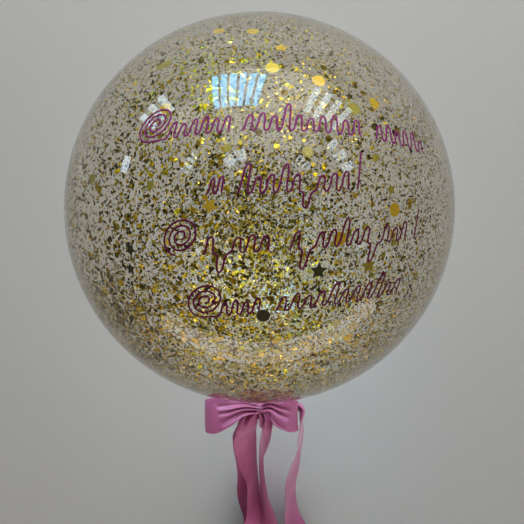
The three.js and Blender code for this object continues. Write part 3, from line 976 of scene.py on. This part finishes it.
def ribbon_middle(side, route, steps, pleats, cut=None):
    """The ribbon's middle surface, a function of the way along and across. A spline runs
    through the route's stations, and the ribbon's width lies across it, turned by its roll.
    Pleats stand up from it where it is gathered. cut is its length where it ends in a slanted
    cut. Gives the grid of points, and each point's place on the flat ribbon."""
    rows = np.array(route, float)
    out = TIE_OUT + rows[:, 1] * RIBBON_WIDTH
    places = np.stack([rows[:, 0] * RIBBON_WIDTH, -out, rows[:, 2]], -1)
    forms = np.stack([np.radians(rows[:, 3]), rows[:, 4]], -1)
    samples = np.linspace(0, 1, ROUTE_SAMPLES + 1)
    way = way_along(spline(places, samples))
    along, across = (g.ravel() for g in np.meshgrid(
        np.linspace(0, 1, steps + 1), np.linspace(-0.5, 0.5, STRIPES + 1), indexing="ij"))
    if cut is None:
        distance = along * way[-1]
    else:
        distance = along * cut + END_SLANT * across * along**SLANT_POWER
    t = np.interp(distance, way, samples)
    roll, share = spline(forms, t).T
    share = np.clip(share, LEAST_SHARE, 1)
    after, before = np.minimum(t + NEARBY, 1), np.maximum(t - NEARBY, 0)
    ahead = unit(spline(places, after) - spline(places, before))
    level = unit(side - ahead * (ahead @ side)[:, None])
    wide = level * np.cos(roll)[:, None] + np.cross(ahead, level) * np.sin(roll)[:, None]
    up = np.cross(ahead, wide)
    uneven = across + 0.05 * np.sin(2 * math.pi * 1.3 * across + 1)
    folds = np.sin(2 * math.pi * pleats * uneven + 0.7 * np.sin(9 * along))
    height = pleat_height(share * PLEAT_SLACK, pleats) * folds
    crown = CROWN * (1 - (2 * across) ** 2) * share
    sideways = wide * (across * RIBBON_WIDTH * share)[:, None]
    grid = spline(places, t) + sideways + up * (height + crown)[:, None]
    flat = np.stack([(across + 0.5) * RIBBON_WIDTH, distance], -1)
    return grid.reshape(steps + 1, STRIPES + 1, 3), flat


def off_ball(points):
    """Points pushed out to clear the ball."""
    away = points - CENTRE
    distance = np.linalg.norm(away, axis=-1, keepdims=True)
    return CENTRE + away / distance * np.maximum(distance, BALL_RADIUS + BALL_GAP)


def ribbon_piece(name, node, grid, flat, around=False):
    """A closed thin strip about a middle surface: half the thickness to each side along the
    surface's normals, kept off the ball and above the floor."""
    settings = bpy.context.scene.balloon_ribbon
    finish = bpy.data.materials.get("pink_satin") or satin_finish(settings)
    half = grid_normals(grid, around) * settings.thickness / 2
    sides = [off_ball(grid + half), off_ball(grid - half)]
    dip = FLOOR_GAP - np.minimum(sides[0][..., 2], sides[1][..., 2])
    for side in sides:
        side[..., 2] += np.maximum(dip, 0)
    faces = slab_faces(grid.shape[0], grid.shape[1], around)
    points = np.concatenate([side.reshape(-1, 3) for side in sides])
    strip = piece(name, points, faces, finish, uv=np.vstack([flat, flat]))
    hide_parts(node)


def tail(name, node, side, route, cut):
    """A hung tail of a flat length, with a slanted end."""
    grid, flat = ribbon_middle(side, route, TAIL_STEPS, TAIL_PLEATS, cut)
    ribbon_piece(name, node, grid, flat)


def wrap_ring(radius_y, radius_z, width, lean):
    """A gathered wrap: an oval ring about the X axis, as wide as width. Its pleats are a sine
    across that takes in the ribbon's spare width, and they lean to and fro round the ring."""
    turns = np.arange(WRAP_STEPS) / WRAP_STEPS * 2 * math.pi
    turn, across = np.meshgrid(turns, np.linspace(-0.5, 0.5, WRAP_STRIPES + 1), indexing="ij")
    belly = 1 - WRAP_BELLY * (2 * across) ** 2
    height = pleat_height(np.array(width / RIBBON_WIDTH), WRAP_PLEATS)
    ripple = height * np.sin(2 * math.pi * WRAP_PLEATS * across + lean * np.sin(turn))
    y = (radius_y * belly + ripple) * np.cos(turn)
    z = (radius_z * belly + ripple) * np.sin(turn)
    around = turn * (radius_y + radius_z) / 2
    flat = np.stack([((across + 0.5) * RIBBON_WIDTH).ravel(), around.ravel()], -1)
    return across * width, y, z, flat


def neck_wrap(name, node, out):
    """A gathered ring of ribbon round the neck, out metres past the tie."""
    radius = BAND_RADIUS + WRAP_OUT
    across, x, z, flat = wrap_ring(radius, radius, BAND_WIDTH, WRAP_LEAN)
    grid = np.stack([x, -across - TIE_OUT - out, z + CENTRE_HEIGHT], -1)
    ribbon_piece(name, node, grid, flat, around=True)


def satin_finish(settings):
    """Satin: fine threads along the ribbon, slow changes of tone, firm edges and a soft sheen."""
    finish = Finish("pink_satin")
    place = finish.place()
    across, along = finish.uv()
    slow = finish.noise(place, scale=28.0, detail=3.0).part(0.25, 0.75)
    threads = (across * 9000.0).sine() * 0.5 + 0.5
    picks = (along * 5200.0).sine() * 0.5 + 0.5
    half = RIBBON_WIDTH / 2
    edge = (across - half).math("ABSOLUTE").part(half - 0.9 * MM, half - 0.4 * MM)
    tone = slow * 0.75 + threads * 0.15 + picks * 0.1
    body = finish.mix(tone, settings.deep, settings.light)
    edge_colour = tuple(c * 0.8 for c in settings.deep)
    finish.give(
        Base_Color=finish.mix(edge * 0.6, body, edge_colour),
        Roughness=0.3 + slow * 0.08 + edge * 0.2,
        Sheen_Weight=0.28,
        Sheen_Roughness=0.35,
        Sheen_Tint=(1.0, 0.72, 0.88),
        Specular_IOR_Level=0.6,
    )
    finish.bump(threads * 0.5 + picks * 0.3 + edge * 2.0, strength=0.25, distance=0.12 * MM)
    return finish.material


class BALLOON_OT_bow(Operator):
    """Makes the bow: its neck wrap, knot, two loops and two tails, one length of ribbon"""

    bl_idname = "balloon.bow"
    bl_label = "Bow"

    def execute(self, context):
        node = "bow_ribbon"
        for name, route in (("bow_left_loop", LEFT_LOOP), ("bow_right_loop", RIGHT_LOOP)):
            grid, flat = ribbon_middle(ALONG_NECK, route, LOOP_STEPS, LOOP_PLEATS)
            ribbon_piece(name, node, grid, flat)
        for name, route in (("bow_left_tail", LEFT_TAIL), ("bow_middle_tail", MIDDLE_TAIL)):
            tail(name, node, ACROSS_X, route, BOW_TAIL_LENGTH)
        x, y, z, flat = wrap_ring(*KNOT_FORM)
        grid = np.stack([x, y - TIE_OUT, z + KNOT_HEIGHT], -1)[::-1]
        ribbon_piece("bow_knot", node, grid, flat, around=True)
        neck_wrap("bow_neck_wrap", node, 0.0)
        return {"FINISHED"}


class BALLOON_OT_streamer(Operator):
    """Makes the streamer: its neck wrap and two tails, a second length of ribbon"""

    bl_idname = "balloon.streamer"
    bl_label = "Streamer"

    def execute(self, context):
        node, wrap = "streamer_ribbon", "streamer_neck_wrap"
        tail("streamer_right_tail", node, UPRIGHT, RIGHT_TAIL, STREAMER_TAIL_LENGTH)
        tail("streamer_back_tail", node, ACROSS_X, BACK_TAIL, STREAMER_TAIL_LENGTH)
        neck_wrap(wrap, node, STREAMER_STEP)
        return {"FINISHED"}


FLOOR_REACH = 4.0
FLOOR_DROP = 0.2 * MM
FILL_TINT = (1.0, 0.92, 0.78, 1)
CAMERA_TURN = Matrix(((1, 0.00015, -0.00263), (0, 0.99837, 0.05704), (0.00263, -0.05704, 0.99837)))
# Soft lights: name, place, aim, width, height, tint, and the setting that gives their power
SOFT_LIGHTS = (
    ("soft_top", (0.2, 1.6, 1.3), (0, 0, 0.2), 1.7, 1.7, (0.97, 1.0, 1.0), "top"),
    ("soft_low", (0.2, -2.6, 0.5), (0, -0.33, 0.14), 5.5, 0.8, (1.0, 0.94, 0.9), "low"),
)
PANEL_DISTANCE = 1.6
COOL, WHITE = (0.12, 0.85, 1.6), (0.5, 0.65, 0.8)
# Light panels by the place on the ball, in millimetres from its centre, that mirrors them to
# the camera: place, direction of the panel from there, width, height, number of strips, their
# share of the width, colour, and turn about its own direction in degrees
PANELS = (
    ((-22, 118, 196), (-0.174, 0.927, 0.332), 0.71, 0.65, 6, 0.72, COOL, 11),
    ((-102, 97, 182), (-0.721, 0.686, 0.097), 0.46, 0.44, 3, 0.6, WHITE, 0),
    ((67, 100, 197), (0.523, 0.783, 0.336), 0.61, 0.56, 4, 0.55, WHITE, 0),
    ((-134, 46, 181), (-0.943, 0.321, 0.09), 0.23, 0.15, 1, 0.9, WHITE, 0),
    ((-68, 45, 215), (-0.608, 0.402, 0.685), 0.35, 0.145, 4, 0.6, WHITE, 0),
    ((-23, 49, 224), (-0.221, 0.466, 0.857), 0.38, 0.185, 2, 0.85, WHITE, 0),
    ((42, 45, 222), (0.392, 0.417, 0.82), 0.29, 0.15, 4, 0.45, WHITE, 0),
    ((78, 53, 210), (0.676, 0.453, 0.581), 0.56, 0.22, 3, 0.6, WHITE, 0),
)


def floor_finish(tint):
    """Pale floor, faintly mottled."""
    finish = Finish("pale_floor")
    place = finish.place()
    cloud = finish.noise(place, scale=1.6, detail=3.0)
    darker = tuple(c * 0.95 for c in tint)
    finish.give(Base_Color=finish.mix(cloud, darker, tint), Roughness=0.75 + cloud * 0.1)
    return finish.material


def soft_light(name, place, aim, width, height, power, tint, roll=0):
    """A soft rectangular light that aims from a place at a point, rolled by some degrees."""
    data = bpy.data.lights.new(name, "AREA")
    data.shape = "RECTANGLE"
    data.size, data.size_y = width, height
    data.energy = power
    data.color = tint
    made = stand(name, data)
    turn = (Vector(aim) - Vector(place)).to_track_quat("-Z", "Y").to_matrix().to_4x4()
    rolled = turn @ Matrix.Rotation(-math.radians(roll), 4, "Z")
    made.matrix_world = Matrix.Translation(place) @ rolled
    made.visible_camera = False
    return made


class BALLOON_OT_stage(Operator):
    """Makes the floor, the lights and the camera"""

    bl_idname = "balloon.stage"
    bl_label = "Stage"

    def execute(self, context):
        settings = context.scene.balloon_stage
        scene = context.scene
        mesh = bpy.data.meshes.new("floor")
        far, down = FLOOR_REACH, -FLOOR_DROP
        corners = [(-far, -far, down), (far, -far, down), (far, far, down), (-far, far, down)]
        mesh.from_pydata(corners, [], [(0, 1, 2, 3)])
        mesh.materials.append(floor_finish(settings.floor))
        stand("floor", mesh)
        self.lights(settings)
        self.world(scene, settings)
        self.camera(scene, settings)
        return {"FINISHED"}

    def lights(self, settings):
        """A big soft light above, a low one before the ribbons, and striped panels that the
        ball mirrors."""
        for name, place, aim, width, height, tint, power in SOFT_LIGHTS:
            light = soft_light(name, place, aim, width, height, getattr(settings, power), tint)
            light.visible_glossy = False
        for number, panel in enumerate(PANELS):
            mirrored, towards, width, height, strips, share, tint, roll = panel
            aim = CENTRE + np.array(mirrored) * MM
            ahead = unit(np.array(towards))
            middle = aim + ahead * PANEL_DISTANCE
            level = unit(np.cross(towards, UPRIGHT))
            turned = math.radians(roll)
            sideways = level * math.cos(turned) + np.cross(level, ahead) * math.sin(turned)
            thin = width / strips * share
            power = settings.glow * math.pi * thin * height
            for strip in range(strips):
                name = f"panel_{number}_{strip}"
                place = middle + sideways * ((strip + 0.5) / strips - 0.5) * width
                light = soft_light(name, place, aim, thin, height, power, tint, roll)
                light.visible_diffuse = False

    def world(self, scene, settings):
        """An even warm world for fill."""
        world = bpy.data.worlds.new("soft_fill")
        world.use_nodes = True
        background = world.node_tree.nodes["Background"]
        background.inputs["Color"].default_value = FILL_TINT
        background.inputs["Strength"].default_value = settings.fill
        scene.world = world
        scene.view_settings.view_transform = "Standard"

    def camera(self, scene, settings):
        """The camera straight above the ball, pitched a little so that the neck shows lower."""
        data = bpy.data.cameras.new("camera")
        data.lens = settings.focal
        data.sensor_width = 36
        data.clip_start = 0.05
        made = stand("camera", data)
        place = Vector((0, 0, CENTRE_HEIGHT + settings.camera_rise))
        made.matrix_world = Matrix.Translation(place) @ CAMERA_TURN.to_4x4()
        scene.camera = made


STEPS = ("stage", "film", "confetti", "vinyl", "bow", "streamer")


class BALLOON_PT_panel(Panel):
    """Lists the balloon's pieces"""

    bl_label = "Balloon"
    bl_idname = "BALLOON_PT_panel"
    bl_space_type = "VIEW_3D"
    bl_region_type = "UI"
    bl_category = "Balloon"

    def draw(self, context):
        for step in STEPS:
            self.layout.operator(f"balloon.{step}")


SETTINGS = {
    "balloon_film": FilmSettings,
    "balloon_confetti": ConfettiSettings,
    "balloon_vinyl": VinylSettings,
    "balloon_ribbon": RibbonSettings,
    "balloon_stage": StageSettings,
}
CLASSES = (
    *SETTINGS.values(), BALLOON_OT_stage, BALLOON_OT_film, BALLOON_OT_confetti,
    BALLOON_OT_vinyl, BALLOON_OT_bow, BALLOON_OT_streamer, BALLOON_PT_panel,
)


def register():
    """Adds the classes and the scene's settings."""
    for each in CLASSES:
        bpy.utils.register_class(each)
    for name, group in SETTINGS.items():
        setattr(bpy.types.Scene, name, PointerProperty(type=group))


def unregister():
    """Takes the settings and the classes away."""
    for name in SETTINGS:
        delattr(bpy.types.Scene, name)
    for each in reversed(CLASSES):
        bpy.utils.unregister_class(each)


def main():
    register()
    for step in STEPS:
        getattr(bpy.ops.balloon, step)()


if __name__ == "__main__":
    main()
